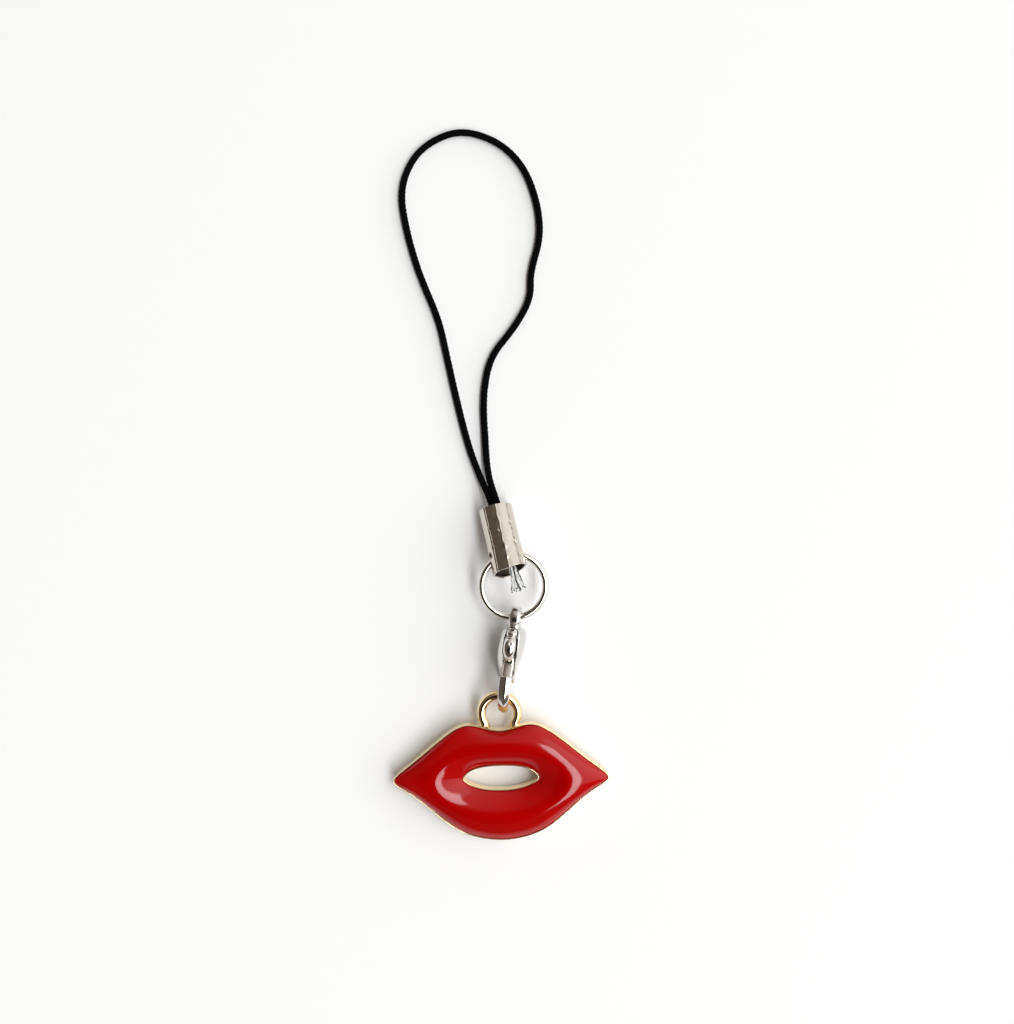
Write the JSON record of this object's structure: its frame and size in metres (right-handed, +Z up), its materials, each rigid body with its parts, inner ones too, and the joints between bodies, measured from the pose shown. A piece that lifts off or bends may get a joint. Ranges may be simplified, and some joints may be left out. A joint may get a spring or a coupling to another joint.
{
  "type": "phone strap charm",
  "caption": "Phone strap charm: a black cord loop in a crimp tube, a jump ring, a lobster clasp with a sprung lever, and a lips pendant of red enamel on a gold-coloured tray.",
  "frame": {"origin": "on the table that the part lies on, under the middle of the metal pieces, cord left out", "axes": "+Z up from the table, +Y from the pendant towards the cord loop, +X to the right seen from above with the cord loop at the top"},
  "size_m": [0.0266, 0.0882, 0.0071],
  "materials": {
    "black_cord": "thin round braid of black polyester, slight sheen",
    "set_glue": "set glue, dark amber",
    "frayed_strands": "frayed synthetic strands, silver grey with dark ones between",
    "crimp_nickel": "warm nickel plate on rolled steel sheet, pressed flats with fine marks",
    "ring_nickel": "bright nickel plate on steel wire",
    "clasp_nickel": "bright nickel plate on a zinc casting",
    "rivet_steel": "plain steel pin",
    "spring_steel": "plain spring wire",
    "gold_plate": "polished gold-coloured plate on a casting",
    "red_enamel": "high-gloss domed red enamel"
  },
  "bodies": {
    "strap": {"crimp_tube": "crimp_nickel", "cord_loop": "black_cord", "cord_end_plug": "set_glue", "cord_tails": "frayed_strands"},
    "ring": {"jump_ring": "ring_nickel"},
    "clasp": {"clasp_body": "clasp_nickel", "clasp_rivet": "rivet_steel", "clasp_spring": "spring_steel"},
    "lever": {"clasp_lever": "clasp_nickel"},
    "charm": {"charm_base": "gold_plate", "charm_enamel": "red_enamel"}
  },
  "joints": [
    {"name": "ring_swing", "type": "hinge", "parent": "strap", "child": "ring", "pos_m": [0.00085, 0.01417, 0.00379], "axis": [-0.9736, -0.2284, 0], "range_deg": [-60, 60]},
    {"name": "clasp_swing", "type": "hinge", "parent": "ring", "child": "clasp", "pos_m": [0.00173, 0.00702, 0.00306], "axis": [-0.9993, -0.0307, 0.0203], "range_deg": [-60, 60]},
    {"name": "charm_swing", "type": "hinge", "parent": "clasp", "child": "charm", "pos_m": [0.00056, -0.00266, 0.00275], "axis": [-0.9526, 0.302, 0.0364], "range_deg": [-60, 60]},
    {"name": "lever_press", "type": "hinge", "parent": "clasp", "child": "lever", "pos_m": [0.0013, 0.00486, 0.00445], "axis": [0.986, -0.1228, 0.1132], "range_deg": [0, 30], "stiffness_Nm_per_rad": 0.001, "springref_deg": -20.05, "deforming": ["clasp_spring"]}
  ]
}
